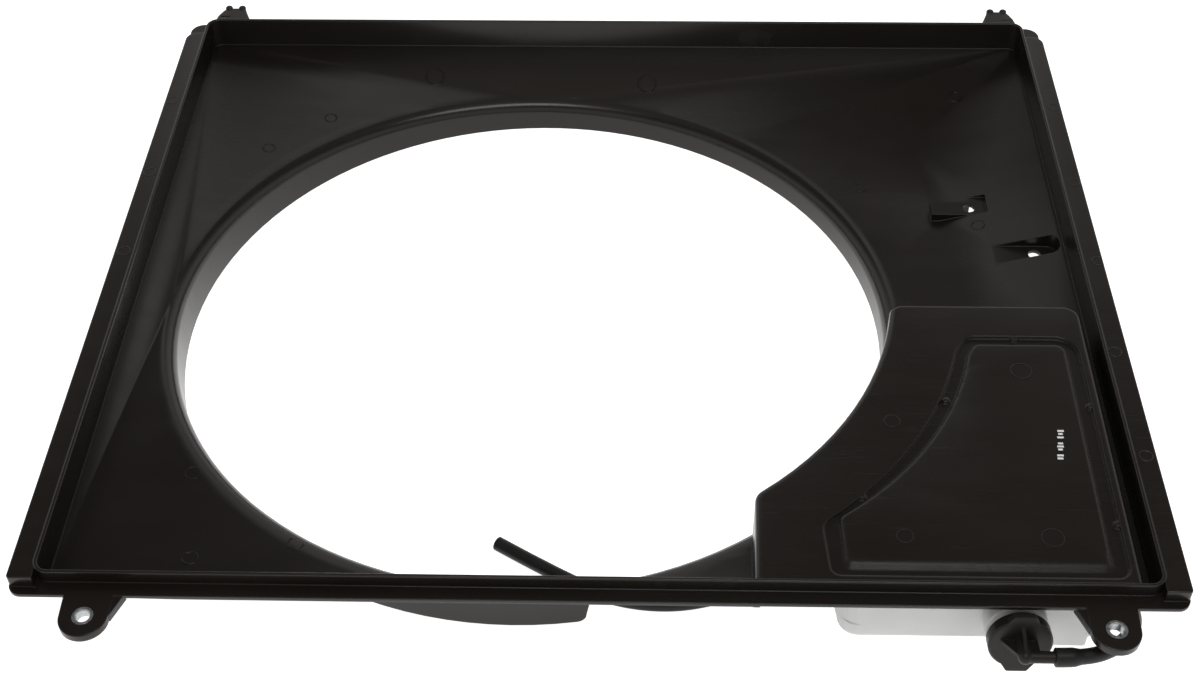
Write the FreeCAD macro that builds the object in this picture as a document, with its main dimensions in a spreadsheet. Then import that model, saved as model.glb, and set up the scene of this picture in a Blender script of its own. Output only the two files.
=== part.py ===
import FreeCAD, Part
import math
import os
import Sketcher
from FreeCAD import Placement, Rotation, Vector

# Radiator fan shroud with the coolant reservoir on its engine side.
# Frame: origin under the middle of the assembly, on the plane that the
# collar's engine-side edge rests on. +Z points to the radiator side, -Y to the
# edge that is uppermost when installed, +X to the side of the reservoir.

doc = FreeCAD.newDocument("coolant_reservoir_and_shroud")
dims = doc.addObject("Spreadsheet::Sheet", "dims")
TABLE = [
    ("rim_top", 72.7), ("near_face", -286.5), ("tray_width", 692.0), ("tray_depth", 593.0),
    ("corner_radius", 10.0), ("wall_thick", 2.5), ("wall_base", 25.0), ("wall_foot", 28.0),
    ("flange_out", 360.0), ("flange_drop", 9.6), ("flange_top", 0.7), ("flange_skin", 2.6),
    ("flange_near", -4.0), ("flange_far", 573.0),
    ("ledge_depth", 10.0), ("ledge_top", 9.6), ("ledge_thick", 2.6),
    ("tab_left", -309.0), ("tab_right", 311.4), ("tab_centre", -25.5), ("tab_radius", 15.0), ("tab_thick", 5.4),
    ("limiter_outer", 6.5), ("limiter_bore", 4.3), ("limiter_length", 7.0),
    ("fan_x", -54.2), ("fan_y", 278.9), ("fan_radius", 258.6), ("skin", 2.8),
    ("edge_level", 39.5), ("edge_tilt_x", 0.0193), ("edge_tilt_y", 0.031), ("edge_round", 11.0),
    ("pad_top", 1.5), ("pad_left", 98.0), ("pad_right", 334.0), ("pad_far", 247.0), ("pad_skirt", 46.0),
    ("pad_round", 4.0), ("groove_depth", 6.0),
    ("tank_top", 13.0), ("tank_bottom", 58.5), ("tank_wall", 2.0), ("tank_round", 7.0),
    ("neck_x", 258.5), ("neck_y", -22.0), ("neck_drop", 31.5), ("neck_angle", 10.0),
    ("neck_outer", 15.5), ("neck_bore", 13.3), ("neck_base", 19.4),
    ("cap_radius", 19.7), ("cap_skirt", 8.0), ("cap_skin", 2.8),
    ("nipple_outer", 3.75), ("nipple_bore", 2.2), ("nipple_reach", 17.5),
    ("gasket_thick", 1.8), ("dip_outer", 4.0), ("dip_bore", 2.9),
    ("hose_outer", 4.85), ("hose_bore", 3.1),
    ("screw_pilot", 2.2), ("boss_radius", 6.0), ("boss_foot", 30.0), ("ear_thick", 3.0),
    ("accessory_hole", 4.7),
]
for row, (alias, value) in enumerate(TABLE, 1):
    dims.set("A%d" % row, alias)
    dims.set("B%d" % row, str(value))
    dims.setAlias("B%d" % row, alias)
doc.recompute()


def d(alias):
    return float(dims.get(alias))


TOP = d("rim_top")
Y0 = d("near_face")


def V(x, y, z):
    """A point given from the rim's top plane and the near wall's outer face."""
    return Vector(x, y + Y0, z + TOP)


def bind(obj, **exprs):
    for prop, expr in exprs.items():
        obj.setExpression(prop.replace("__", "."), expr)
    return obj


def ybase(expr):
    return "dims.near_face + (%s)" % expr


def zbase(expr):
    return "dims.rim_top + (%s)" % expr


def box(name, x0, x1, y0, y1, z0, z1):
    """A block between two corners; each bound is an expression on the sheet."""
    o = doc.addObject("Part::Box", name)
    bind(o, Length="(%s) - (%s)" % (x1, x0), Width="(%s) - (%s)" % (y1, y0), Height="(%s) - (%s)" % (z1, z0))
    bind(o, Placement__Base__x="%s" % x0, Placement__Base__y=ybase(y0), Placement__Base__z=zbase(z0))
    return o


def cyl(name, radius, height, x, y, z):
    """An upright cylinder whose lower end is at z."""
    o = doc.addObject("Part::Cylinder", name)
    bind(o, Radius="%s" % radius, Height="%s" % height)
    bind(o, Placement__Base__x="%s" % x, Placement__Base__y=ybase(y), Placement__Base__z=zbase(z))
    return o


def fuse(name, shapes):
    o = doc.addObject("Part::MultiFuse", name)
    o.Shapes = shapes
    return o


def cut(name, base, tool):
    o = doc.addObject("Part::Cut", name)
    o.Base = base
    o.Tool = tool
    return o


def origin_plane(body, role):
    return [f for f in body.Origin.OriginFeatures if f.Role == role][0]


def outline(points):
    """Edges of a closed outline with the ends they are walked between: (x, y) corners, or (x, y, mx, my) for an arc
    to that corner through (mx, my)."""
    out = []
    for i, pt in enumerate(points):
        nxt = points[(i + 1) % len(points)]
        a, b = Vector(pt[0], pt[1], 0), Vector(nxt[0], nxt[1], 0)
        if len(nxt) == 4:
            m = Vector(nxt[2], nxt[3], 0)
            left = (m - a).cross(b - m).z > 0
            c = Part.Circle(a, m, b).Center
            r = (a - c).Length
            first, last = (a, b) if left else (b, a)
            t0 = math.atan2(first.y - c.y, first.x - c.x)
            t1 = math.atan2(last.y - c.y, last.x - c.x)
            if t1 < t0:
                t1 += 2 * math.pi
            out.append((Part.ArcOfCircle(Part.Circle(c, Vector(0, 0, 1), r), t0, t1), 1 if left else 2, 2 if left else 1))
        else:
            out.append((Part.LineSegment(a, b), 1, 2))
    return out


def draw(sk, points):
    """Puts a closed outline in a sketch and joins its ends."""
    walked = outline(points)
    for g, _, _ in walked:
        sk.addGeometry(g, False)
    for i in range(len(walked)):
        j = (i + 1) % len(walked)
        sk.addConstraint(Sketcher.Constraint("Coincident", i, walked[i][2], j, walked[j][1]))


def prism(name, points, z_low, z_high, rounds=()):
    """A padded outline as a body. rounds: (selector, radius expression) applied in turn."""
    body = doc.addObject("PartDesign::Body", name)
    sk = body.newObject("Sketcher::SketchObject", name + "_outline")
    sk.AttachmentSupport = [(origin_plane(body, "XY_Plane"), "")]
    sk.MapMode = "FlatFace"
    draw(sk, points)
    pad = body.newObject("PartDesign::Pad", name + "_pad")
    pad.Profile = sk
    bind(pad, Length="(%s) - (%s)" % (z_high, z_low))
    bind(body, Placement__Base__y="dims.near_face", Placement__Base__z=zbase(z_low))
    body.Tip = pad
    doc.recompute()
    last = pad
    for k, (pick, radius) in enumerate(rounds):
        edges = ["Edge%d" % (i + 1) for i, e in enumerate(last.Shape.Edges) if pick(e)]
        if not edges:
            raise SystemExit("no edge for round %d of %s" % (k, name))
        fil = body.newObject("PartDesign::Fillet", "%s_round%d" % (name, k))
        fil.Base = (last, edges)
        bind(fil, Radius="%s" % radius)
        body.Tip = fil
        doc.recompute()
        if "Invalid" in fil.State or fil.Shape.isNull() or not fil.Shape.isValid():
            raise SystemExit("round %d of %s failed" % (k, name))
        last = fil
    return body


def upright(x=None, y=None, near=1.0):
    """Picks upright edges, all or those close to a point of the plan."""
    def pick(e):
        a, b = e.Vertexes[0].Point, e.Vertexes[-1].Point
        if abs(a.x - b.x) > 1e-4 or abs(a.y - b.y) > 1e-4 or abs(a.z - b.z) < 0.5:
            return False
        return x is None or math.hypot(a.x - x, a.y - y) < near
    return pick


def level(z):
    """Picks edges that lie at one height of the body's own frame."""
    def pick(e):
        return all(abs(v.Point.z - z) < 1e-4 for v in e.Vertexes) and abs(e.BoundBox.ZMax - e.BoundBox.ZMin) < 1e-4
    return pick


def feature(name, shape):
    o = doc.addObject("Part::Feature", name)
    o.Shape = shape
    return o


# ------------------------------------------------------------------ shroud: frame
half = d("tray_width") / 2.0
depth = d("tray_depth")


def rectangle(x0, x1, y0, y1):
    return [(x0, y0), (x1, y0), (x1, y1), (x0, y1)]


wt = d("wall_thick")
rim_block = prism("rim_block", rectangle(-half, half, 0.0, depth), "-dims.wall_foot", "0", [(upright(), "dims.corner_radius")])
tray_room = prism("tray_room", rectangle(-half + wt, half - wt, wt, depth - wt), "-dims.wall_foot - 2", "6",
                  [(upright(), "dims.corner_radius - dims.wall_thick")])
rim_sharp = cut("rim_sharp", rim_block, tray_room)
doc.recompute()
rim_ring = doc.addObject("Part::Fillet", "rim_ring")
rim_ring.Base = rim_sharp
rim_ring.Edges = [(i + 1, 0.9, 0.9) for i, e in enumerate(rim_sharp.Shape.Edges)
                  if all(abs(v.Point.z - TOP) < 1e-4 for v in e.Vertexes) and e.BoundBox.ZLength < 1e-4]
doc.recompute()

# side flanges: a skin with an outer lip and cross ribs under it
flanges = []
for side, sx in (("left", -1), ("right", 1)):
    x_in, x_out = sorted((sx * (half - 2.0), sx * d("flange_out")))
    y_n, y_f = d("flange_near"), d("flange_far")
    fx_out = sx * d("flange_out")
    body = prism("flange_%s_skin" % side, rectangle(x_in, x_out, y_n, y_f), "-dims.flange_drop", "-dims.flange_top",
                 [(upright(fx_out, y_f), "9"), (upright(fx_out, y_n), "2.5"), (level(d("flange_drop") - d("flange_top")), "0.9")])
    hx0, hx1 = sorted((sx * (half + 0.0), sx * (d("flange_out") - 2.4)))
    hollow = box("flange_%s_room" % side, str(hx0), str(hx1), str(y_n + 2.6), str(y_f - 9.0),
                 "-dims.flange_drop - 1", "-dims.flange_top - dims.flange_skin")
    ribs = [box("flange_%s_rib_%d" % (side, i), str(hx0 - 0.5), str(hx1 + 0.5), str(60.0 + 73.0 * i), str(62.0 + 73.0 * i),
                "-dims.flange_drop + 1.2", "-dims.flange_top - dims.flange_skin + 0.5") for i in range(7)]
    flanges.append(fuse("flange_%s" % side, [cut("flange_%s_shell" % side, body, hollow)] + ribs))

# ledge along the near wall, with the two fixing tabs
fo = d("flange_out")
lt, lk = "-dims.ledge_top - dims.ledge_thick", "-dims.ledge_top"
ledge = prism("ledge", rectangle(-fo, fo, -d("ledge_depth"), 8.0), lt, lk,
              [(lambda e: upright(-fo, -d("ledge_depth"))(e) or upright(fo, -d("ledge_depth"))(e), "8")])
ledge_trim = box("ledge_trim", "-dims.tray_width / 2 + dims.wall_thick", "dims.tray_width / 2 - dims.wall_thick",
                 "dims.wall_thick", "9", "-dims.ledge_top - 5", "-dims.ledge_top + 1")
ledge_plate = cut("ledge_plate", ledge, ledge_trim)

tabs = []
holes = []
for side, tx in (("left", d("tab_left")), ("right", d("tab_right"))):
    r, cy = d("tab_radius"), d("tab_centre")
    inb = 1 if side == "left" else -1
    tab = prism("tab_%s_plate" % side,
                [(tx - r - 0.8, -6.0), (tx - r, cy), (tx + r, cy, tx, cy - r), (tx + r + 0.8, -6.0)],
                "-dims.ledge_top - dims.tab_thick", "-dims.ledge_top", [(level(d("tab_thick")), "0.6")])
    xe = tx + inb * r
    web = prism("tab_%s_web" % side, [(xe - inb * 3.0, cy + 2.0), (xe + inb * 0.2, cy + 1.0), (xe + inb * 6.6, -8.0), (xe - inb * 3.0, -8.0)]
                if inb > 0 else [(xe + 3.0, cy + 2.0), (xe + 3.0, -8.0), (xe - 6.6, -8.0), (xe - 0.2, cy + 1.0)],
                "-dims.ledge_top - 6.6", "-dims.ledge_top - 0.8")
    back = box("tab_%s_back" % side, str(tx - r - 0.8), str(tx + r + 0.8), "-8", "1.5", "-dims.ledge_top - dims.tab_thick", lk)
    collar = cyl("tab_%s_collar" % side, "dims.limiter_outer + 2.4", "dims.limiter_length - 0.3", str(tx), "dims.tab_centre",
                 "-dims.ledge_top - dims.limiter_length + 0.3")
    tabs += [tab, web, back, collar]
    holes.append(cyl("tab_%s_hole" % side, "dims.limiter_outer", "30", str(tx), "dims.tab_centre", "-dims.ledge_top - 20"))

# lower tongues on the far wall, each a plate with two upright round nubs
tongues = []
for side, sx, base_out, base_in in (("left", 1, -340.0, -309.5), ("right", -1, 341.5, 312.0)):
    w = base_in - base_out
    x = lambda t: base_out + w * t
    tongue = prism("tongue_%s_plate" % side,
                   [(x(0.0), depth - 2.0), (x(0.05), depth + 6.0), (x(0.16), depth + 13.5), (x(0.26), depth + 17.0), (x(0.74), depth + 17.0),
                    (x(0.80), depth + 13.0), (x(1.0), depth - 2.0)][::(1 if w > 0 else -1)],
                   "-4.2", "-1.0", [(level(3.2), "0.7")])
    nub_o = cyl("tongue_%s_nub_o" % side, "3.1", "6.4", str(x(0.29)), str(depth + 17.4), "-6.4")
    nub_i = cyl("tongue_%s_nub_i" % side, "3.1", "6.4", str(x(0.66)), str(depth + 17.4), "-6.4")
    doc.recompute()
    nubs = []
    for nub in (nub_o, nub_i):
        f = doc.addObject("Part::Fillet", nub.Name + "_round")
        f.Base = nub
        f.Edges = [(i + 1, 1.4, 1.4) for i, e in enumerate(nub.Shape.Edges) if e.BoundBox.ZLength < 1e-4]
        nubs.append(f)
    stay = prism("tongue_%s_stay" % side,
                 [(x(0.30), depth - 1.0), (x(0.30), depth + 15.0), (x(0.38), depth + 15.0), (x(0.38), depth - 1.0)][::(1 if w > 0 else -1)],
                 "-11.5", "-3.5")
    mark = box("tongue_%s_mark" % side, str(min(x(0.14), x(0.40))), str(max(x(0.14), x(0.40))), str(depth + 3.0), str(depth + 4.6), "-1.7", "0")
    tongues.append((tongue, nubs, stay, mark))

# small quarter plates that tie the flange ends to the far corners
corners = []
for side, sx in (("left", -1), ("right", 1)):
    x_in, x_out = sorted((sx * (half - 1.2), sx * (fo - 2.0)))
    corners.append(prism("corner_plate_%s" % side, rectangle(x_in, x_out, d("flange_far") - 10.0, d("flange_far") + 14.0),
                         "-5.2", "-2.6", [(upright(sx * (fo - 2.0), d("flange_far") + 14.0), "10.5")]))

# ------------------------------------------------------------------ shroud: panel and collar
FX, FY, FR, SK = d("fan_x"), d("fan_y"), d("fan_radius"), d("skin")
TXE, TYE = d("edge_tilt_x"), d("edge_tilt_y")


def edge_z(x, y):
    return -d("edge_level") - TXE * (x - FX) - TYE * (y - FY)


def ring_quarters(radius, drop):
    """Four quarter arcs of the tilted ring whose plan is a circle: its plane falls like the panel's edge."""
    pts = []
    for k in range(4):
        arc = []
        for t in range(0, 10):
            a = math.radians(90.0 * k + 10.0 * t)
            px, py = FX + radius * math.cos(a), FY + radius * math.sin(a)
            arc.append(V(px, py, edge_z(px, py) - drop))
        c = Part.BSplineCurve()
        c.interpolate(arc)
        pts.append(c.toShape())
    return pts


def square_to_round(hx, y_n, y_f, r, z, ring):
    """Faces from a rounded rectangle at height z to the four ring quarters, closed above."""
    cx = [hx - r, -hx + r, -hx + r, hx - r]
    cy = [y_f - r, y_f - r, y_n + r, y_n + r]
    faces, arcs_low, sides_low = [], [], []
    for k in range(4):
        a0 = 90.0 * k
        p = [V(cx[k] + r * math.cos(math.radians(a0 + t)), cy[k] + r * math.sin(math.radians(a0 + t)), z) for t in (0, 45, 90)]
        arcs_low.append(Part.Arc(*p).toShape())
    for k in range(4):
        n = (k + 1) % 4
        arc, q = arcs_low[k], ring[k]
        faces.append(Part.makeRuledSurface(arc, q))
        a = arc.Vertexes[-1].Point
        b = arcs_low[n].Vertexes[0].Point
        apex = ring[k].Vertexes[-1].Point
        side = Part.makeLine(a, b)
        sides_low.append(side)
        faces.append(Part.Face(Part.makePolygon([a, b, apex, a])))
    rim = Part.Wire([e for k in range(4) for e in (arcs_low[k], sides_low[k])])
    faces.append(Part.Face(rim))
    return faces


def closed_solid(faces):
    sewn = Part.makeCompound(faces)
    sewn.sewShape(0.005)
    if not sewn.Shells or not sewn.Shells[0].isClosed():
        raise SystemExit("open shell: %d shells, %d faces" % (len(sewn.Shells), len(sewn.Faces)))
    s = Part.Solid(sewn.Shells[0])
    if s.Volume < 0:
        s.reverse()
    return s


def stack(rings):
    faces = []
    for low, high in zip(rings[1:], rings[:-1]):
        faces += [Part.makeRuledSurface(a, b) for a, b in zip(high, low)]
    faces.append(Part.Face(Part.Wire(rings[-1])))
    return faces


ER = d("edge_round")
stations = []
for a in (12, 28, 44, 60, 76):
    t = math.radians(a)
    stations.append((FR + ER - ER * math.sin(t), ER * (1 - math.cos(t))))
r_last, z_last = stations[-1]
stations.append((FR - 0.6, z_last + (r_last - FR + 0.6) * math.tan(math.radians(77))))
rings = [ring_quarters(r, drop) for r, drop in stations]
funnel_room = feature("funnel_room", closed_solid(
    square_to_round(half - wt, wt, depth - wt, d("corner_radius") - wt, -d("wall_base"), rings[0]) + stack(rings)))
outer_rings = [ring_quarters(FR + ER + 1.5, 3.0), ring_quarters(FR + SK, 7.2)]
inset = 0.5
funnel_skin = feature("funnel_skin", closed_solid(
    square_to_round(half - inset, inset, depth - inset, d("corner_radius") - inset, -d("wall_foot") + 0.2, outer_rings[0]) + stack(outer_rings)))
panel_rim = prism("panel_rim", rectangle(-half + inset, half - inset, inset, depth - inset), "-dims.wall_foot + 0.1", "-dims.wall_base - 0.2",
                  [(upright(), "dims.corner_radius - 0.5")])


def above(a, bx, by, x0, x1, y0, y1, top=40.0):
    """The room above the plane z = a + bx x + by y, over a rectangle of the plan."""
    p = [V(x, y, a + bx * x + by * y) for x, y in ((x0, y0), (x1, y0), (x1, y1), (x0, y1))]
    face = Part.Face(Part.makePolygon(p + [p[0]]))
    return face.extrude(Vector(0, 0, top + 60.0))


def right_side(rise, x1, y0, y1, lid_z):
    """The deeper corner of the panel on the reservoir's side: three planes that meet in a hollow."""
    x0 = 105.0
    s = above(edge_z(0, 0) + 0.6 + rise, -TXE, -TYE, x0, x1, y0, y1)
    s = s.common(above(-d("wall_base") - 0.28 * (half - wt) + rise + 0.3, 0.28, 0, x0 - 1, x1 + 1, y0 - 1, y1 + 1))
    s = s.common(above(-d("wall_base") - 0.26 * (depth - wt) + rise + 0.3, 0, 0.26, x0 - 1, x1 + 1, y0 - 1, y1 + 1))
    lid = Part.makeBox(x1 - x0 + 4, y1 - y0 + 4, 100, V(x0 - 2, y0 - 2, lid_z))
    return s.cut(lid)


PF = d("pad_far")
doc.recompute()
corner_room = feature("corner_room", right_side(0.0, half - wt - 0.4, PF - 4.0, depth - wt - 0.4, -25.1))
corner_skin = feature("corner_skin", right_side(-3.0, half - 0.9, PF - 7.0, depth - 0.9, -26.4))
collar_skin = cyl("collar_skin", "dims.fan_radius + dims.skin", "dims.rim_top - 31", "dims.fan_x", "dims.fan_y", "-dims.rim_top")
fan_room = cyl("fan_room", "dims.fan_radius", "dims.rim_top + 20", "dims.fan_x", "dims.fan_y", "-dims.rim_top - 5")

# accessory bosses on the right of the panel: flats at one level on the falling panel
boss_a_skin = box("boss_a_skin", "250.6", "298.6", "388.5", "414.7", "-44.4", "-30")
boss_a_block = box("boss_a_block", "253.2", "284", "391.1", "406.3", "-52.5", "-41.6")
boss_a_room = box("boss_a_room", "284", "296", "391.1", "412.1", "-41.6", "-10")
boss_a_under = box("boss_a_under", "255.8", "289", "393.5", "403.9", "-64", "-44.4")
boss_b_skin = box("boss_b_skin", "293", "344.5", "328.2", "353.8", "-41.4", "-27")
boss_b_room = prism("boss_b_room", rectangle(288.0, 341.0, 331.0, 351.0), "-38.6", "-10",
                    [(lambda e: upright(341.0, 331.0)(e) or upright(341.0, 351.0)(e), "8")])
boss_a_hole = cyl("boss_a_hole", "dims.accessory_hole", "40", "282.4", "398.8", "-60")
boss_b_hole = cyl("boss_b_hole", "dims.accessory_hole", "40", "324.2", "341.8", "-60")

panel_full = fuse("panel_full", [funnel_skin, panel_rim, corner_skin, collar_skin])
panel = cut("panel", cut("panel_step_b", cut("panel_step_a", panel_full, funnel_room), corner_room), fan_room)

# the boss skins reach down from the panel; what stands above the panel is trimmed
boss_skins = fuse("boss_skins", [boss_a_skin, boss_b_skin])
boss_trimmed = cut("boss_trimmed", cut("boss_step", boss_skins, funnel_room), corner_room)

# ------------------------------------------------------------------ shroud: raised pocket over the reservoir
PL, PR = d("pad_left"), d("pad_right")


def on_circle(radius, x=None, y=None):
    if x is not None:
        return (x, FY - math.sqrt(radius ** 2 - (x - FX) ** 2))
    return (FX + math.sqrt(radius ** 2 - (y - FY) ** 2), y)


def pocket(radius, left_near, left_ring, right_near, right_far, near, far):
    a = on_circle(radius, x=left_ring)
    b = on_circle(radius, y=far)
    am = math.atan2(a[1] - FY, a[0] - FX)
    bm = math.atan2(b[1] - FY, b[0] - FX)
    m = (am + bm) / 2.0
    return [(left_near, near), (right_near, near), (right_far, far), (b[0], b[1]),
            (a[0], a[1], FX + radius * math.cos(m), FY + radius * math.sin(m))]


pad_pts = pocket(FR, PL - 0.8, PL + 2.0, PR - 1.8, PR + 0.6, 0.3, PF)
pad_top_local = d("pad_skirt") - d("pad_top")


def pad_rounded_top(e):
    b = e.BoundBox
    return level(pad_top_local)(e) and b.YMax > 2.0


pad_block = prism("pad_block", pad_pts, "-dims.pad_skirt", "-dims.pad_top",
                  [(upright(*pad_pts[4][:2]), "11"), (upright(*pad_pts[3][:2]), "9"), (upright(*pad_pts[2]), "12"),
                   (pad_rounded_top, "dims.pad_round")])
room_pts = pocket(FR + SK, PL + SK - 0.8, PL + SK + 2.0, PR - SK - 1.8, PR - SK + 0.6, wt, PF - SK)
pad_room = prism("pad_room", room_pts, "-dims.rim_top - 6", "-dims.pad_top - dims.skin",
                 [(upright(*room_pts[4][:2]), "8.2"), (upright(*room_pts[3][:2]), "6.2"), (upright(*room_pts[2]), "9.2")])
skirt_trim_right = box("skirt_trim_right", "323", "346", "-1", "244", "-60", "-31")
skirt_trim_left = box("skirt_trim_left", "95", "104", "-1", "21", "-60", "-30")
foot_face = Part.Face(Part.makePolygon([V(-355, -1, -22.4), V(-355, -1, -32), V(-355, 2.45, -32), V(-355, 2.45, -27.9), V(-355, -1, -22.4)]))
foot_trim = feature("foot_trim", foot_face.extrude(Vector(710, 0, 0)))
skirt_trim_near = box("skirt_trim_near", "101.6", "350", "-1", "2.6", "-60", "-28")


# panel that the groove surrounds, and the groove's outer outline
def ring_point(radius, deg):
    return (FX + radius * math.cos(math.radians(deg)), FY + radius * math.sin(math.radians(deg)))


def concave(radius, end):
    """The outline's concave side, an arc to its end that keeps about one distance from the fan opening."""
    return end + ring_point(radius, -32.0)


groove_pts = [(143.9, 6.6), (325.5, 6.6), (327.0, 214.6), (251.0, 214.6), ring_point(307.0, -14.8), concave(306.6, (141.0, 47.0))]
inner_pts = [(153.4, 14.3), (315.3, 14.3), (318.0, 207.6), (256.6, 207.6), ring_point(315.5, -15.0), concave(314.4, (152.0, 52.5))]
groove_local_top = d("groove_depth")
inner_top = groove_local_top + 1.0
groove_full = prism("groove_full", groove_pts, "-dims.pad_top - dims.groove_depth", "-dims.pad_top",
                    [(upright(*groove_pts[0]), "7"), (upright(*groove_pts[1]), "9"), (upright(*groove_pts[2]), "16"),
                     (upright(*groove_pts[3]), "10"), (upright(*groove_pts[5][:2]), "12"), (level(0.0), "1.6")])
inner_panel = prism("inner_panel", inner_pts, "-dims.pad_top - dims.groove_depth - 1", "-dims.pad_top",
                    [(upright(*inner_pts[0]), "4"), (upright(*inner_pts[1]), "4"), (upright(*inner_pts[2]), "7"),
                     (upright(*inner_pts[3]), "5"), (upright(*inner_pts[5][:2]), "5"), (level(inner_top), "1.8")])
groove = cut("groove", groove_full, inner_panel)
# the groove's wall under the pocket's top
tub_full = prism("groove_tub_full", [(141.2, 3.0), (328.2, 3.0), (329.8, 217.2), (250.0, 217.2), ring_point(304.2, -14.2), concave(303.8, (138.2, 47.6))],
                 "-dims.pad_top - dims.groove_depth - dims.skin", "-dims.pad_top - dims.skin + 0.4",
                 [(upright(329.8, 217.2), "16"), (upright(250.0, 217.2), "10"), (upright(138.2, 47.6), "12")])
tub_room = prism("groove_tub_room", [(156.2, 17.0), (312.6, 17.0), (315.2, 204.8), (258.0, 204.8), ring_point(318.3, -15.2), concave(317.2, (154.6, 53.4))],
                 "-dims.pad_top - dims.groove_depth - dims.skin - 1", "-dims.pad_top - dims.skin",
                 [(upright(315.2, 204.8), "5")])
groove_tub = cut("groove_tub", tub_full, tub_room)

nub_list = []
for i, (nx, ny) in enumerate(((230.4, 154.5), (284.3, 213.4), (325.6, 150.4), (324.8, 49.7), (168.0, 70.0))):
    nub_list.append(cyl("groove_nub_%d" % i, "2.3", "dims.groove_depth - 0.2", str(nx), str(ny), "-dims.pad_top - dims.groove_depth - 0.2"))

# bosses inside the pocket for the reservoir's screws
EARS = [("a", 124.0, 24.0), ("b", 187.4, 118.5), ("c", 283.0, 230.0)]
tank_bosses = [cyl("tank_boss_%s" % k, "dims.boss_radius", "dims.boss_foot - dims.pad_top - 1.4", str(ex), str(ey), "-dims.boss_foot") for k, ex, ey in EARS]
pilots = [cyl("tank_pilot_%s" % k, "dims.screw_pilot", "19", str(ex), str(ey), "-dims.boss_foot - 1") for k, ex, ey in EARS]

# hose notch in the collar, and the neck's cut-out in the near wall
notch = doc.addObject("PartDesign::Body", "hose_notch")
nsk = notch.newObject("Sketcher::SketchObject", "hose_notch_outline")
nsk.AttachmentSupport = [(origin_plane(notch, "XZ_Plane"), "")]
nsk.MapMode = "FlatFace"
draw(nsk, [(-12.8, -80.0), (66.0, -80.0), (66.0, -51.0), (-3.8, -51.0), (-6.8, -66.7), (-12.8, -72.7, -8.56, -70.94)])
npad = notch.newObject("PartDesign::Pad", "hose_notch_pad")
npad.Profile = nsk
npad.Length = 80
npad.Midplane = True
notch.Tip = npad
bind(notch, Placement__Base__y=ybase("38"), Placement__Base__z="dims.rim_top")
doc.recompute()
nfil = notch.newObject("PartDesign::Fillet", "hose_notch_round")
nfil.Base = (npad, ["Edge%d" % (i + 1) for i, e in enumerate(npad.Shape.Edges)
                    if e.BoundBox.YLength > 70 and e.BoundBox.ZMax > -52])
nfil.Radius = 5.0
notch.Tip = nfil
doc.recompute()

tilt = Rotation(Vector(1, 0, 0), 90.0 - d("neck_angle"))
NECK = Placement(V(d("neck_x"), d("neck_y"), -d("neck_drop")), tilt)
neck_gap = doc.addObject("Part::Cylinder", "neck_gap")
bind(neck_gap, Radius="dims.neck_base + 1.2", Height="30")
neck_gap.Placement = NECK.multiply(Placement(Vector(0, 0, -40), Rotation()))
neck_slot = box("neck_slot", "dims.neck_x - dims.neck_base - 1.6", "dims.neck_x + dims.neck_base + 1.6", "-1", "2.6", "-60", "-dims.neck_drop - 2")

# ------------------------------------------------------------------ shroud: all of it
def chain(shape, steps):
    """Adds (+1) and takes away (-1) one shape after another at exact tolerance: the panel's curved faces meet the
    rim at so flat an angle that a join with a widened tolerance loses them."""
    for sign, tool in steps:
        shape = shape.fuse(tool.Shape) if sign > 0 else shape.cut(tool.Shape)
    return shape


steps = [(1, panel), (1, pad_block), (-1, pad_room), (1, boss_trimmed), (1, boss_a_block)]
steps += [(1, o) for o in flanges + [ledge_plate] + tabs]
for tongue, nubs, stay, mark in tongues:
    steps += [(1, tongue)] + [(1, n) for n in nubs] + [(1, stay)]
steps += [(1, c) for c in corners]
rooms = [skirt_trim_right, skirt_trim_near, skirt_trim_left, foot_trim, groove, notch, neck_gap, neck_slot, boss_a_room, boss_a_under, boss_b_room,
         boss_a_hole, boss_b_hole] + holes + [m for _, _, _, m in tongues]
steps += [(-1, r) for r in rooms]
steps += [(1, o) for o in [groove_tub] + nub_list + tank_bosses]
steps += [(-1, o) for o in pilots]
doc.recompute()
fan_shroud = feature("fan_shroud", chain(rim_ring.Shape, steps))
fan_shroud.Label = "fan_shroud"

# ------------------------------------------------------------------ reservoir
tw = d("tank_wall")


def tank_outline(off):
    return [(151.5 + off, 3.5 + off), (318.0 - off, 3.5 + off), (318.0 - off, 213.5 - off), (252.0 + off * 0.6, 213.5 - off),
            ring_point(307.0 + off, -15.6), concave(307.0 + off, (148.6 + off, 50.5 + off * 0.6))]


def tank_block(name, off, z0, z1):
    pts = tank_outline(off)
    span = d("tank_bottom") - d("tank_top") - 2 * off
    return prism(name, pts, z0, z1,
                 [(upright(*pts[0]), str(16 - off)), (upright(*pts[1]), str(14 - off)), (upright(*pts[2]), str(14 - off)),
                  (upright(*pts[3]), str(10 - off)), (upright(*pts[5][:2]), str(14 - off)),
                  (level(0.0), "dims.tank_round - %s" % off), (level(span), "dims.tank_round - %s" % off)])


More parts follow.
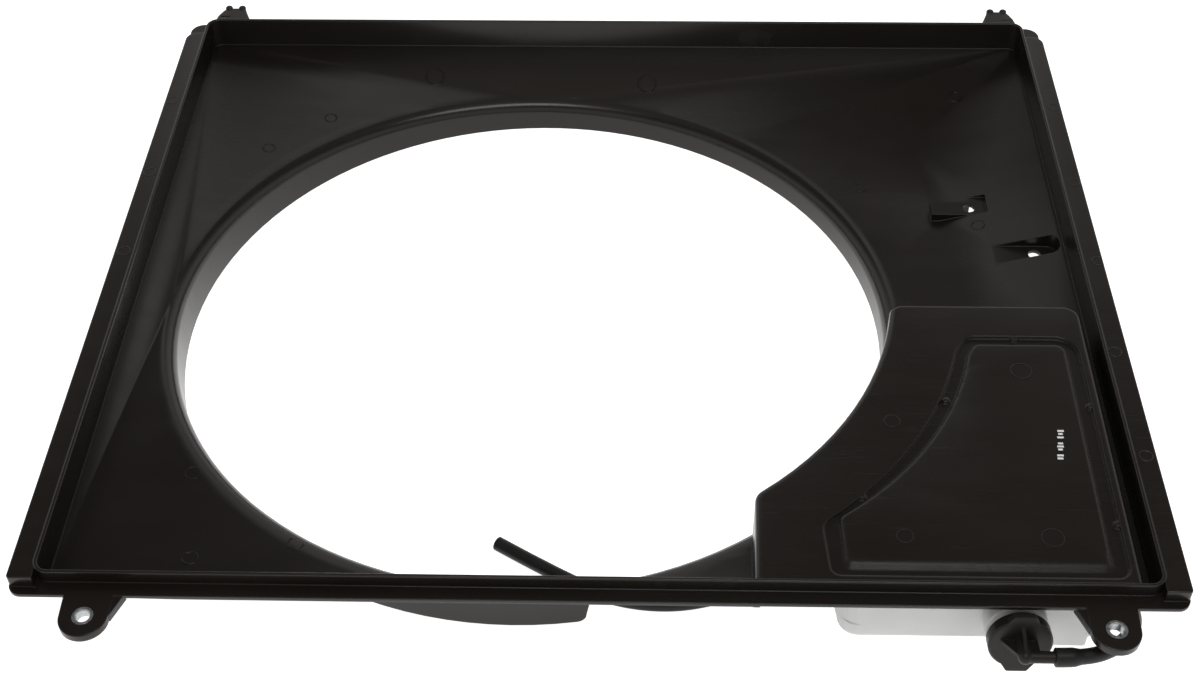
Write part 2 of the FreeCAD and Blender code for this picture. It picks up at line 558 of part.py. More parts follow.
tank_full = tank_block("tank_full", 0.0, "-dims.tank_bottom", "-dims.tank_top")
tank_room = tank_block("tank_room", tw, "-dims.tank_bottom + dims.tank_wall", "-dims.tank_top - dims.tank_wall")
tank_foot = prism("tank_foot", rectangle(283.0, 309.0, 3.5, 12.5), "-68", "-54", [(upright(), "2.5"), (level(0.0), "1.5")])
sump_full = prism("sump_full", rectangle(152.0, 317.5, 3.5, 40.0), "-62.5", "-48", [(upright(), "13"), (level(0.0), "5.5")])
sump_room = prism("sump_room", rectangle(154.0, 315.5, 5.5, 38.0), "-60.5", "-46", [(upright(), "11"), (level(0.0), "3.5")])
mark_high = prism("mark_high", rectangle(196.0, 236.0, 60.0, 62.4), "-dims.tank_bottom - 0.7", "-dims.tank_bottom + 0.5")
mark_low = prism("mark_low", rectangle(206.0, 236.0, 150.0, 152.4), "-dims.tank_bottom - 0.7", "-dims.tank_bottom + 0.5")


def neck_cyl(name, radius, w0, w1):
    o = doc.addObject("Part::Cylinder", name)
    bind(o, Radius="%s" % radius)
    o.Height = w1 - w0
    o.Placement = NECK.multiply(Placement(Vector(0, 0, w0), Rotation()))
    return o


w_top = -(d("cap_skin") + d("gasket_thick"))
neck_tube = neck_cyl("neck_tube", "dims.neck_outer", -32.0, w_top)
neck_bead = neck_cyl("neck_bead", "dims.neck_outer + 1.5", -7.6, -6.0)
neck_ring = neck_cyl("neck_ring", "dims.neck_base", -30.0, -13.0)
neck_hole = neck_cyl("neck_hole", "dims.neck_bore", -37.0, 3.0)
neck_trim = box("neck_trim", "230", "290", "5", "60", "-80", "10")
ears, ear_holes = [], []
LINKS = {"a": [(124.0, 15.0), (150.0, 15.0), (150.0, 33.0), (124.0, 33.0)],
         "b": [(183.0, 111.8), (205.5, 96.9), (214.3, 110.3), (191.8, 125.2)],
         "c": [(274.0, 230.0), (274.0, 208.0), (292.0, 208.0), (292.0, 230.0)]}
for k, ex, ey in EARS:
    ears.append(cyl("ear_%s_eye" % k, "9", "dims.ear_thick", str(ex), str(ey), "-dims.boss_foot - dims.ear_thick"))
    ears.append(prism("ear_%s_link" % k, LINKS[k], "-dims.boss_foot - dims.ear_thick", "-dims.boss_foot"))
    ear_holes.append(cyl("ear_%s_hole" % k, "3.1", "10", str(ex), str(ey), "-dims.boss_foot - dims.ear_thick - 3"))
neck_outside = cut("neck_outside", fuse("neck_parts", [neck_tube, neck_bead, neck_ring]), neck_trim)
tank_outside = fuse("tank_outside", [tank_full, sump_full, tank_foot, mark_high, mark_low, neck_outside] + ears)
reservoir = cut("reservoir_tank", tank_outside, fuse("tank_rooms", [tank_room, sump_room, neck_hole] + ear_holes))
reservoir.Label = "reservoir_tank"
doc.recompute()

# ------------------------------------------------------------------ cap, in its own frame: z outward along the neck
CR, CS, CK = d("cap_radius"), d("cap_skirt"), d("cap_skin")
cap_body = doc.addObject("PartDesign::Body", "cap_shell")
csk = cap_body.newObject("Sketcher::SketchObject", "cap_section")
csk.AttachmentSupport = [(origin_plane(cap_body, "XZ_Plane"), "")]
csk.MapMode = "FlatFace"
section = [(0.0, 0.0), (CR - 1.2, 0.0), (CR, -1.2), (CR, -CS), (CR - 1.9, -CS), (CR - 1.9, -CK), (0.0, -CK)]
draw(csk, section)
rev = cap_body.newObject("PartDesign::Revolution", "cap_turned")
rev.Profile = csk
rev.ReferenceAxis = (csk, ["V_Axis"])
rev.Angle = 360.0
cap_body.Tip = rev
doc.recompute()


def local(o, placement):
    o.Placement = NECK.multiply(placement)
    return o


cap_body.Placement = NECK


def local_prism(name, pts, w0, w1, rounds=()):
    body = prism(name, pts, str(w0), str(w1), rounds)
    body.setExpression("Placement.Base.y", None)
    body.setExpression("Placement.Base.z", None)
    body.Placement = NECK.multiply(Placement(Vector(0, 0, w0), Rotation()))
    return body


def lug(name, s):
    pts = [(-10.6 * s, 15.5 * s), (-6.3 * s, 22.4 * s), (6.3 * s, 22.4 * s), (10.6 * s, 15.5 * s)]
    return local_prism(name, pts[::-1], -4.2, 0.0, [(upright(-6.3 * s, 22.4 * s), "1.5"), (upright(6.3 * s, 22.4 * s), "1.5"), (level(4.2), "0.8")])


lug_top, lug_low = lug("cap_lug_top", 1), lug("cap_lug_low", -1)
nip_v, nip_w = 3.2, 13.2
elbow = doc.addObject("Part::Cylinder", "cap_elbow")
elbow.Radius = 4.6
elbow.Height = nip_w + 1.0
local(elbow, Placement(Vector(0, nip_v, -1.0), Rotation()))
elbow_end = doc.addObject("Part::Sphere", "cap_elbow_end")
elbow_end.Radius = 4.6
local(elbow_end, Placement(Vector(0, nip_v, nip_w), Rotation()))
to_x = Rotation(Vector(0, 1, 0), 90)
nipple = doc.addObject("Part::Cylinder", "cap_nipple")
bind(nipple, Radius="dims.nipple_outer", Height="dims.nipple_reach")
local(nipple, Placement(Vector(0, nip_v, nip_w), to_x))
web_side = doc.addObject("Part::Extrusion", "cap_web_side")
ws = feature("cap_web_side_face", Part.Face(Part.makePolygon([Vector(-13.4, nip_v - 1.3, -0.5), Vector(-3.0, nip_v - 1.3, nip_w + 1.0),
                                                              Vector(-1.0, nip_v - 1.3, nip_w + 1.0), Vector(-1.0, nip_v - 1.3, -0.5),
                                                              Vector(-13.4, nip_v - 1.3, -0.5)])))
ws.Placement = NECK
web_side.Base = ws
web_side.Dir = NECK.Rotation.multVec(Vector(0, 1, 0))
web_side.DirMode = "Custom"
web_side.LengthFwd = 2.6
web_side.Solid = True
web_up = doc.addObject("Part::Extrusion", "cap_web_up")
wu = feature("cap_web_up_face", Part.Face(Part.makePolygon([Vector(-1.1, 14.0, -0.5), Vector(-1.1, nip_v + 4.0, nip_w + 2.0),
                                                            Vector(-1.1, nip_v, nip_w + 2.0), Vector(-1.1, nip_v, -0.5), Vector(-1.1, 14.0, -0.5)])))
wu.Placement = NECK
web_up.Base = wu
web_up.Dir = NECK.Rotation.multVec(Vector(1, 0, 0))
web_up.DirMode = "Custom"
web_up.LengthFwd = 2.2
web_up.Solid = True
web_right = doc.addObject("Part::Extrusion", "cap_web_right")
wr = feature("cap_web_right_face", Part.Face(Part.makePolygon([Vector(1.0, nip_v - 1.1, -0.5), Vector(1.0, nip_v - 1.1, nip_w), Vector(9.5, nip_v - 1.1, nip_w),
                                                               Vector(9.5, nip_v - 1.1, -0.5), Vector(1.0, nip_v - 1.1, -0.5)])))
wr.Placement = NECK
web_right.Base = wr
web_right.Dir = NECK.Rotation.multVec(Vector(0, 1, 0))
web_right.DirMode = "Custom"
web_right.LengthFwd = 2.2
web_right.Solid = True
spigot = doc.addObject("Part::Cylinder", "cap_spigot")
bind(spigot, Radius="dims.dip_bore - 0.05")
spigot.Height = 12.0
local(spigot, Placement(Vector(0, nip_v, -CK - 10.0), Rotation()))
bore_in = doc.addObject("Part::Cylinder", "cap_bore_in")
bind(bore_in, Radius="dims.nipple_bore - 0.4")
bore_in.Height = nip_w + CK + 12.0
local(bore_in, Placement(Vector(0, nip_v, -CK - 12.0), Rotation()))
bore_out = doc.addObject("Part::Cylinder", "cap_bore_out")
bind(bore_out, Radius="dims.nipple_bore", Height="dims.nipple_reach + 1")
local(bore_out, Placement(Vector(0, nip_v, nip_w), to_x))
cap_all = fuse("cap_all", [cap_body, lug_top, lug_low, elbow, elbow_end, nipple, web_side, web_up, web_right, spigot])
filler_cap = cut("filler_cap", cap_all, fuse("cap_bores", [bore_in, bore_out]))
filler_cap.Label = "filler_cap"

gasket_out = neck_cyl("gasket_out", "dims.neck_outer - 0.2", w_top, -d("cap_skin"))
gasket_in = neck_cyl("gasket_in", "dims.neck_bore - 1.0", w_top - 1, -d("cap_skin") + 1)
gasket = cut("cap_gasket", gasket_out, gasket_in)
gasket.Label = "cap_gasket"
doc.recompute()

# ------------------------------------------------------------------ pick-up tube under the cap
q0 = NECK.multVec(Vector(0, nip_v, -CK - 1.2))
axis_in = NECK.Rotation.multVec(Vector(0, 0, -1))
q1 = q0 + axis_in * 88.0
q2 = Vector(q1.x, V(0, 196.0, 0).y, q1.z)
turn = math.radians(d("neck_angle"))
reach = 60.0 * math.tan(turn / 2.0)
a1, a2 = q1 - axis_in * reach, q1 + Vector(0, reach, 0)
mid_dir = (axis_in * -1.0 + Vector(0, 1, 0)).normalize()
arc_mid = q1 + mid_dir * (60.0 / math.cos(turn / 2.0) - 60.0)
dip_path = Part.Wire([Part.LineSegment(q0, a1).toShape(), Part.Arc(a1, arc_mid, a2).toShape(), Part.LineSegment(a2, q2).toShape()])


def pipe(path, start, direction, radius):
    ring = Part.Wire([Part.Circle(start, direction, radius).toShape()])
    return path.makePipeShell([ring], True, False)


dip = feature("dip_tube", pipe(dip_path, q0, axis_in, d("dip_outer")).cut(pipe(dip_path, q0, axis_in, d("dip_bore"))))
dip.Label = "dip_tube"

# ------------------------------------------------------------------ overflow hose: straight runs joined by tangent arcs
tip = NECK.multVec(Vector(d("nipple_reach"), nip_v, nip_w))
tx, ty, tz = tip.x, tip.y - Y0, tip.z - TOP
ROUTE = [(tx, ty, tz), (295.0, ty, tz), (313.3, -26.34, -28.06), (327.9, -11.74, -32.46), (335.0, 9.0, -40.0), (333.0, 36.0, -50.8),
         (325.6, 62.5, -60.0), (307.6, 84.5, -66.6), (277.0, 97.5, -67.8), (237.0, 97.0, -67.8), (193.5, 84.8, -67.8), (151.0, 67.5, -67.8),
         (113.0, 50.8, -67.8), (81.4, 38.8, -67.8), (47.0, 30.6, -67.8), (8.5, 35.6, -67.8), (-27.8, 54.6, -67.8), (-68.3, 80.7, -67.8)]
pts = [V(*p) for p in ROUTE]
edges, start, radii = [], pts[0], []
for i in range(1, len(pts) - 1):
    p, a, b = pts[i], pts[i - 1] - pts[i], pts[i + 1] - pts[i]
    la, lb = a.Length, b.Length
    a.normalize()
    b.normalize()
    theta = math.pi - math.acos(max(-1.0, min(1.0, a.dot(b))))
    r = 0.45 * min(la, lb) / math.tan(theta / 2.0)
    cutoff = r * math.tan(theta / 2.0)
    s, e = p + a * cutoff, p + b * cutoff
    bis = (a + b).normalize()
    m = p + bis * (r / math.cos(theta / 2.0) - r)
    edges += [Part.LineSegment(start, s).toShape(), Part.Arc(s, m, e).toShape()]
    start = e
    radii.append((round(math.degrees(theta), 1), round(r, 1), round(la, 1)))
edges.append(Part.LineSegment(start, pts[-1]).toShape())
hose_path = Part.Wire(edges)
hose_dir = pts[1] - pts[0]
hose_shape = pipe(hose_path, pts[0], hose_dir, d("hose_outer"))
hose = feature("overflow_hose", hose_shape)
hose.Label = "overflow_hose"
print("hose turns, radii, runs:", radii)
print("hose length %.1f, volume %.1f against %.1f" % (hose_path.Length, hose_shape.Volume, math.pi * d("hose_outer") ** 2 * hose_path.Length))

# ------------------------------------------------------------------ limiters and screws
made = [fan_shroud, reservoir, filler_cap, gasket, dip, hose]
for side in ("left", "right"):
    outer = cyl("limiter_%s_outer" % side, "dims.limiter_outer", "dims.limiter_length", "dims.tab_%s" % side, "dims.tab_centre",
                "-dims.ledge_top - dims.limiter_length + 0.4")
    inner = cyl("limiter_%s_inner" % side, "dims.limiter_bore", "dims.limiter_length + 2", "dims.tab_%s" % side, "dims.tab_centre",
                "-dims.ledge_top - dims.limiter_length - 0.6")
    sleeve = cut("limiter_%s_sleeve" % side, outer, inner)
    doc.recompute()
    edge = doc.addObject("Part::Chamfer", "compression_limiter_%s" % side)
    edge.Base = sleeve
    edge.Edges = [(i + 1, 0.6, 0.6) for i, e in enumerate(sleeve.Shape.Edges)
                  if e.BoundBox.ZLength < 1e-4 and abs(e.BoundBox.XLength - 2 * d("limiter_bore")) < 0.01]
    edge.Label = "compression_limiter_%s" % side
    made.append(edge)

screws = []
for k, ex, ey in EARS:
    z_ear = "-dims.boss_foot - dims.ear_thick"
    shank = cyl("screw_%s_shank" % k, "dims.screw_pilot - 0.04", "19", str(ex), str(ey), z_ear)
    flange = cyl("screw_%s_flange" % k, "6.6", "1.4", str(ex), str(ey), z_ear + " - 1.4")
    hexa = doc.addObject("Part::Prism", "screw_%s_hex" % k)
    hexa.Polygon = 6
    hexa.Circumradius = 4.62
    hexa.Height = 5.0
    bind(hexa, Placement__Base__x=str(ex), Placement__Base__y=ybase(str(ey)), Placement__Base__z=zbase(z_ear + " - 6"))
    screws.append(fuse("screw_%s" % k, [shank, flange, hexa]))
doc.recompute()
tank_screws = doc.addObject("Part::Compound", "tank_screws")
tank_screws.Links = screws
tank_screws.Label = "tank_screws"
made.append(tank_screws)
doc.recompute()

bad = [o.Name for o in doc.Objects if "Invalid" in o.State or "Error" in o.State]
if bad:
    raise SystemExit("failed: %s" % bad)
os.makedirs("parts", exist_ok=True)
for o in made:
    s = o.Shape
    if s.isNull() or not s.isValid():
        raise SystemExit("bad shape: " + o.Label)
    b = s.BoundBox
    print("%-26s solids %d volume %10.1f  x %.1f %.1f  y %.1f %.1f  z %.1f %.1f" %
          (o.Label, len(s.Solids), s.Volume, b.XMin, b.XMax, b.YMin, b.YMax, b.ZMin, b.ZMax))
for o in made:
    o.Shape.exportStep("parts/%s.step" % o.Label)
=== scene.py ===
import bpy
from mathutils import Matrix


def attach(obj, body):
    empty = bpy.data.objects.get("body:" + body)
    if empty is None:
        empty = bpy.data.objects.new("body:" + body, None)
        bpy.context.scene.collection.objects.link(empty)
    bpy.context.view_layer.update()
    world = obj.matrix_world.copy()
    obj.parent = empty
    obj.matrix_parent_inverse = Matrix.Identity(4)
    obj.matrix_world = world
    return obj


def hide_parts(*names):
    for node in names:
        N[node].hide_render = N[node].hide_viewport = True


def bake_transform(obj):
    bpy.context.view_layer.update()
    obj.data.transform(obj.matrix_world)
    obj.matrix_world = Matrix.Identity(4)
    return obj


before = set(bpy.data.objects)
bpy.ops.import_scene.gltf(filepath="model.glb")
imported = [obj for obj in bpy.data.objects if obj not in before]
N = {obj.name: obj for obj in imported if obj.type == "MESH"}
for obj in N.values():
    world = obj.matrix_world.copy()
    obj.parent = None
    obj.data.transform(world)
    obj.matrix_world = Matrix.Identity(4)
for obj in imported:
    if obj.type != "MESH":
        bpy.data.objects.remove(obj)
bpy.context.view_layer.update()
import math

import bmesh
import bpy
from mathutils import Matrix, Vector
from mathutils.bvhtree import BVHTree

Y0, TOP = -0.2865, 0.0727


def P(x, y, z):
    """A point in mm from the near wall's outer face and the rim's top plane, in the frame in metres."""
    return Vector((x / 1000.0, y / 1000.0 + Y0, z / 1000.0 + TOP))


# ---------------------------------------------------------------- camera
pitch, roll, yaw = math.radians(44.63), math.radians(-0.79), math.radians(-1.89)
fw = Vector((math.sin(yaw) * math.cos(pitch), math.cos(yaw) * math.cos(pitch), -math.sin(pitch)))
r0 = fw.cross(Vector((0, 0, 1))).normalized()
u0 = r0.cross(fw)
right = math.cos(roll) * r0 + math.sin(roll) * u0
up = -math.sin(roll) * r0 + math.cos(roll) * u0
eye = Vector((0.0262, -0.6406 + Y0, 0.8371 + TOP))
cam_data = bpy.data.cameras.new("camera")
cam_data.lens, cam_data.sensor_width = 51.69, 36.0
cam_data.clip_start, cam_data.clip_end = 0.02, 60.0
cam = bpy.data.objects.new("camera", cam_data)
bpy.context.scene.collection.objects.link(cam)
cam.matrix_world = Matrix(((right.x, up.x, -fw.x, eye.x), (right.y, up.y, -fw.y, eye.y), (right.z, up.z, -fw.z, eye.z), (0, 0, 0, 1)))
bpy.context.scene.camera = cam


def through(px, py):
    """The direction from the camera through a point of the 1200 by 678 view."""
    return (fw + right * ((px - 600.0) / 1723.0) - up * ((py - 339.0) / 1723.0)).normalized()


# ---------------------------------------------------------------- materials
class Mat:
    def __init__(self, name):
        self.m = bpy.data.materials.new(name)
        self.m.use_nodes = True
        self.t = self.m.node_tree
        self.b = self.t.nodes["Principled BSDF"]
        self.co = self.t.nodes.new("ShaderNodeTexCoord").outputs["Object"]

    def node(self, kind, **inputs):
        n = self.t.nodes.new(kind)
        for k, v in inputs.items():
            self.put(n.inputs[k.replace("_", " ") if k.replace("_", " ") in n.inputs else k], v)
        return n

    def put(self, socket, v):
        if isinstance(v, bpy.types.NodeSocket):
            self.t.links.new(v, socket)
        elif isinstance(v, bpy.types.Node):
            self.t.links.new(v.outputs[0], socket)
        else:
            socket.default_value = v

    def set(self, name, v):
        self.put(self.b.inputs[name], v)

    def scaled(self, sx, sy, sz, rz=0.0):
        n = self.t.nodes.new("ShaderNodeMapping")
        self.put(n.inputs["Vector"], self.co)
        n.inputs["Scale"].default_value = (sx, sy, sz)
        n.inputs["Rotation"].default_value = (0.0, 0.0, rz)
        return n.outputs[0]

    def noise(self, scale, detail=3.0, rough=0.5, vector=None, distortion=0.0):
        n = self.t.nodes.new("ShaderNodeTexNoise")
        self.put(n.inputs["Vector"], vector if vector is not None else self.co)
        n.inputs["Scale"].default_value = scale
        n.inputs["Detail"].default_value = detail
        n.inputs["Roughness"].default_value = rough
        n.inputs["Distortion"].default_value = distortion
        return n.outputs[0]

    def ramp(self, fac, stops):
        n = self.t.nodes.new("ShaderNodeValToRGB")
        self.put(n.inputs["Fac"], fac)
        e = n.color_ramp.elements
        e[0].position, e[0].color = stops[0][0], tuple(stops[0][1]) + (1.0,)
        e[1].position, e[1].color = stops[-1][0], tuple(stops[-1][1]) + (1.0,)
        for pos, col in stops[1:-1]:
            x = e.new(pos)
            x.color = tuple(col) + (1.0,)
        return n.outputs[0]

    def fit(self, v, a, b, c, d, clamp=True):
        n = self.t.nodes.new("ShaderNodeMapRange")
        n.clamp = clamp
        for k, x in (("Value", v), ("From Min", a), ("From Max", b), ("To Min", c), ("To Max", d)):
            self.put(n.inputs[k], x)
        return n.outputs[0]

    def math(self, op, a, b=0.0, c=0.0):
        n = self.t.nodes.new("ShaderNodeMath")
        n.operation = op
        for i, x in enumerate((a, b, c)):
            self.put(n.inputs[i], x)
        return n.outputs[0]

    def mix(self, fac, a, b):
        n = self.t.nodes.new("ShaderNodeMix")
        n.data_type = "RGBA"
        self.put(n.inputs[0], fac)
        self.put(n.inputs[6], a)
        self.put(n.inputs[7], b)
        return n.outputs[2]

    def bump(self, height, strength, distance, normal=None):
        n = self.t.nodes.new("ShaderNodeBump")
        n.inputs["Strength"].default_value = strength
        n.inputs["Distance"].default_value = distance
        self.put(n.inputs["Height"], height)
        if normal is not None:
            self.put(n.inputs["Normal"], normal)
        return n.outputs[0]

    def bevel(self, radius, samples=6):
        n = self.t.nodes.new("ShaderNodeBevel")
        n.samples = samples
        n.inputs["Radius"].default_value = radius
        return n.outputs[0]


def black_plastic():
    m = Mat("black_polypropylene")
    cloud = m.noise(5.0, 4.0, 0.55)
    streak = m.noise(9.0, 3.0, 0.6, m.scaled(1.0, 5.0, 3.0, 0.35))
    fine = m.noise(420.0, 3.0, 0.6)
    speck = m.noise(1500.0, 2.0, 0.5)
    line_a = m.noise(34.0, 2.0, 0.4, m.scaled(1.0, 26.0, 1.0, 0.9))
    line_b = m.noise(30.0, 2.0, 0.4, m.scaled(1.0, 30.0, 1.0, -0.55))
    scratch = m.math("MAXIMUM", m.fit(line_a, 0.66, 0.72, 0.0, 1.0), m.fit(line_b, 0.68, 0.74, 0.0, 1.0))
    area = m.fit(m.noise(3.2, 2.0, 0.5), 0.5, 0.66, 0.0, 1.0)
    scratch = m.math("MULTIPLY", scratch, area)
    tone = m.ramp(cloud, [(0.3, (0.0072, 0.0055, 0.0046)), (0.55, (0.0086, 0.0067, 0.0056)), (0.75, (0.0104, 0.0082, 0.0070))])
    tone = m.mix(m.math("MULTIPLY", scratch, 0.15), tone, (0.032, 0.030, 0.028, 1.0))
    dust = m.fit(speck, 0.72, 0.80, 0.0, 0.35)
    tone = m.mix(dust, tone, (0.05, 0.048, 0.045, 1.0))
    m.set("Base Color", tone)
    rough = m.math("ADD", m.fit(cloud, 0.3, 0.7, 0.21, 0.29), m.fit(streak, 0.35, 0.65, -0.018, 0.02))
    rough = m.math("ADD", rough, m.math("MULTIPLY", scratch, 0.05))
    m.set("Roughness", rough)
    m.set("IOR", 1.49)
    m.set("Specular IOR Level", 0.33)
    where = m.t.nodes.new("ShaderNodeSeparateXYZ")
    m.put(where.inputs[0], m.co)
    x, y, z = where.outputs[0], where.outputs[1], where.outputs[2]
    near = m.math("MULTIPLY", m.fit(y, -0.2785, -0.2765, 0.0, 1.0), m.fit(y, -0.262, -0.256, 1.0, 0.0))
    near = m.math("MULTIPLY", near, m.math("MULTIPLY", m.fit(x, 0.147, 0.153, 0.0, 1.0), m.fit(x, 0.316, 0.322, 1.0, 0.0)))
    pocket = m.math("MULTIPLY", m.fit(y, -0.284, -0.281, 0.0, 1.0), m.fit(y, -0.066, -0.060, 1.0, 0.0))
    pocket = m.math("MULTIPLY", pocket, m.math("MULTIPLY", m.fit(x, 0.104, 0.110, 0.0, 1.0), m.fit(x, 0.325, 0.329, 1.0, 0.0)))
    radius = m.math("MAXIMUM", m.fit(near, 0.0, 1.0, 0.0012, 0.0050), m.fit(pocket, 0.0, 1.0, 0.0012, 0.0026))
    normal = m.bevel(0.0011, 6)
    m.put(normal.node.inputs["Radius"], radius)
    normal = m.bump(fine, 0.10, 0.00012, normal)
    normal = m.bump(cloud, 0.06, 0.004, normal)
    m.set("Normal", normal)
    return m.m


def cap_plastic():
    m = Mat("cap_plastic")
    grain = m.noise(2400.0, 2.0, 0.6)
    cloud = m.noise(30.0, 3.0, 0.5)
    m.set("Base Color", m.ramp(cloud, [(0.3, (0.0065, 0.0056, 0.0050)), (0.7, (0.0110, 0.0098, 0.0090))]))
    m.set("Roughness", m.fit(cloud, 0.3, 0.7, 0.34, 0.46))
    m.set("IOR", 1.49)
    m.set("Specular IOR Level", 0.21)
    m.set("Normal", m.bump(grain, 0.35, 0.0001, m.bevel(0.0005, 6)))
    return m.m


def rubber(name, lo, hi, r0, r1):
    m = Mat(name)
    cloud = m.noise(60.0, 3.0, 0.5)
    lines = m.noise(900.0, 2.0, 0.5)
    m.set("Base Color", m.ramp(cloud, [(0.3, (lo, lo * 0.97, lo * 0.95)), (0.7, (hi, hi * 0.97, hi * 0.95))]))
    m.set("Roughness", m.fit(cloud, 0.3, 0.7, r0, r1))
    m.set("IOR", 1.5)
    m.set("Specular IOR Level", 0.24)
    m.set("Normal", m.bump(lines, 0.2, 0.00008))
    return m.m


def milky():
    m = Mat("translucent_polyethylene")
    cloud = m.noise(14.0, 3.0, 0.55)
    fine = m.noise(260.0, 3.0, 0.6)
    m.set("Base Color", m.ramp(cloud, [(0.3, (0.49, 0.50, 0.495)), (0.7, (0.56, 0.57, 0.565))]))
    m.set("Roughness", m.fit(cloud, 0.3, 0.7, 0.34, 0.46))
    m.set("Subsurface Weight", 0.55)
    m.set("Subsurface Radius", (0.9, 0.95, 0.85))
    m.set("Subsurface Scale", 0.006)
    m.set("Transmission Weight", 0.12)
    m.set("IOR", 1.5)
    m.set("Normal", m.bump(fine, 0.12, 0.0002, m.bevel(0.0008, 4)))
    return m.m


def natural_tube():
    m = Mat("tube_plastic")
    cloud = m.noise(80.0, 2.0, 0.5)
    m.set("Base Color", m.ramp(cloud, [(0.3, (0.62, 0.62, 0.59)), (0.7, (0.72, 0.72, 0.69))]))
    m.set("Roughness", 0.4)
    m.set("Transmission Weight", 0.25)
    return m.m


def zinc(name, c0, c1, r0, r1):
    m = Mat(name)
    cloud = m.noise(420.0, 4.0, 0.6)
    turn = m.noise(1800.0, 2.0, 0.5, m.scaled(1.0, 1.0, 7.0))
    m.set("Base Color", m.ramp(cloud, [(0.3, c0), (0.7, c1)]))
    m.set("Metallic", 1.0)
    m.set("Roughness", m.fit(cloud, 0.3, 0.7, r0, r1))
    m.set("Normal", m.bump(turn, 0.25, 0.00006, m.bevel(0.0003, 4)))
    return m.m


def ink():
    m = Mat("stamp_ink")
    worn = m.noise(1400.0, 3.0, 0.6)
    m.set("Base Color", m.ramp(worn, [(0.30, (0.20, 0.20, 0.20)), (0.44, (0.85, 0.86, 0.86))]))
    m.set("Roughness", 0.6)
    return m.m


PP, CAPP, MILK, TUBE = black_plastic(), cap_plastic(), milky(), natural_tube()
HOSE = rubber("hose_rubber", 0.006, 0.009, 0.38, 0.50)
SEAL = rubber("seal_rubber", 0.014, 0.020, 0.55, 0.65)
ZINC = zinc("zinc_steel", (0.30, 0.32, 0.33), (0.46, 0.49, 0.50), 0.24, 0.36)
STEEL = zinc("screw_steel", (0.44, 0.45, 0.46), (0.60, 0.61, 0.62), 0.26, 0.38)
INK = ink()


# ---------------------------------------------------------------- pieces made from the construction model's own surfaces
def add(name, mesh, material, body, replaces=()):
    mesh.materials.clear()
    mesh.materials.append(material)
    o = bpy.data.objects.new(name, mesh)
    bpy.context.scene.collection.objects.link(o)
    if replaces:
        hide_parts(*replaces)
    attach(o, body)
    return o


def smooth_copy(node, angle=32.0):
    mesh = N[node].data.copy()
    bm = bmesh.new()
    bm.from_mesh(mesh)
    bmesh.ops.remove_doubles(bm, verts=bm.verts, dist=2e-6)
    bmesh.ops.dissolve_degenerate(bm, dist=1e-6, edges=bm.edges)
    for f in bm.faces:
        f.smooth = True
    for e in bm.edges:
        e.smooth = not (len(e.link_faces) != 2 or e.calc_face_angle(0.0) > math.radians(angle))
    bm.to_mesh(mesh)
    bm.free()
    for a in ("custom_normal",):
        if mesh.attributes.get(a):
            mesh.attributes.remove(mesh.attributes[a])
    return mesh


shroud = add("shroud_moulding", smooth_copy("fan_shroud"), PP, "shroud", ["fan_shroud"])
tank = add("reservoir_body", smooth_copy("reservoir_tank"), MILK, "shroud", ["reservoir_tank"])
cap = add("cap_moulding", smooth_copy("filler_cap", 25.0), CAPP, "cap", ["filler_cap"])
for node, material, slot in (("cap_gasket", SEAL, "seal_rubber"), ("dip_tube", TUBE, "tube_plastic"),
                             ("compression_limiter_left", ZINC, "zinc_steel"), ("compression_limiter_right", ZINC, "zinc_steel"),
                             ("tank_screws", STEEL, "screw_steel")):
    body = "cap" if node in ("cap_gasket", "dip_tube") else "shroud"
    add(node + "_finish", smooth_copy(node), material, body, [node])

# ---------------------------------------------------------------- overflow hose
ROUTE = [(276.0, -34.44, -26.06), (295.0, -34.44, -26.06), (313.3, -26.34, -28.06), (327.9, -11.74, -32.46), (335.0, 9.0, -40.0),
         (333.0, 36.0, -50.8), (325.6, 62.5, -60.0), (307.6, 84.5, -66.6), (277.0, 97.5, -67.8), (237.0, 97.0, -67.8),
         (193.5, 84.8, -67.8), (151.0, 67.5, -67.8), (113.0, 50.8, -67.8), (81.4, 38.8, -67.8), (47.0, 30.6, -67.8),
         (8.5, 35.6, -67.8), (-27.8, 54.6, -67.8), (-68.3, 80.7, -67.8)]
curve = bpy.data.curves.new("hose_line", "CURVE")
curve.dimensions = "3D"
spline = curve.splines.new("NURBS")
spline.points.add(len(ROUTE) - 1)
for p, q in zip(spline.points, ROUTE):
    v = P(*q)
    p.co = (v.x, v.y, v.z, 1.0)
spline.order_u = 3
spline.use_endpoint_u = True
spline.resolution_u = 14
holder = bpy.data.objects.new("hose_line", curve)
bpy.context.scene.collection.objects.link(holder)
bpy.context.view_layer.update()
line_mesh = bpy.data.meshes.new_from_object(holder)
line = [v.co.copy() for v in line_mesh.vertices]
bpy.data.objects.remove(holder)
bpy.data.curves.remove(curve)
bpy.data.meshes.remove(line_mesh)
if (line[0] - P(*ROUTE[0])).length > (line[-1] - P(*ROUTE[0])).length:
    line.reverse()


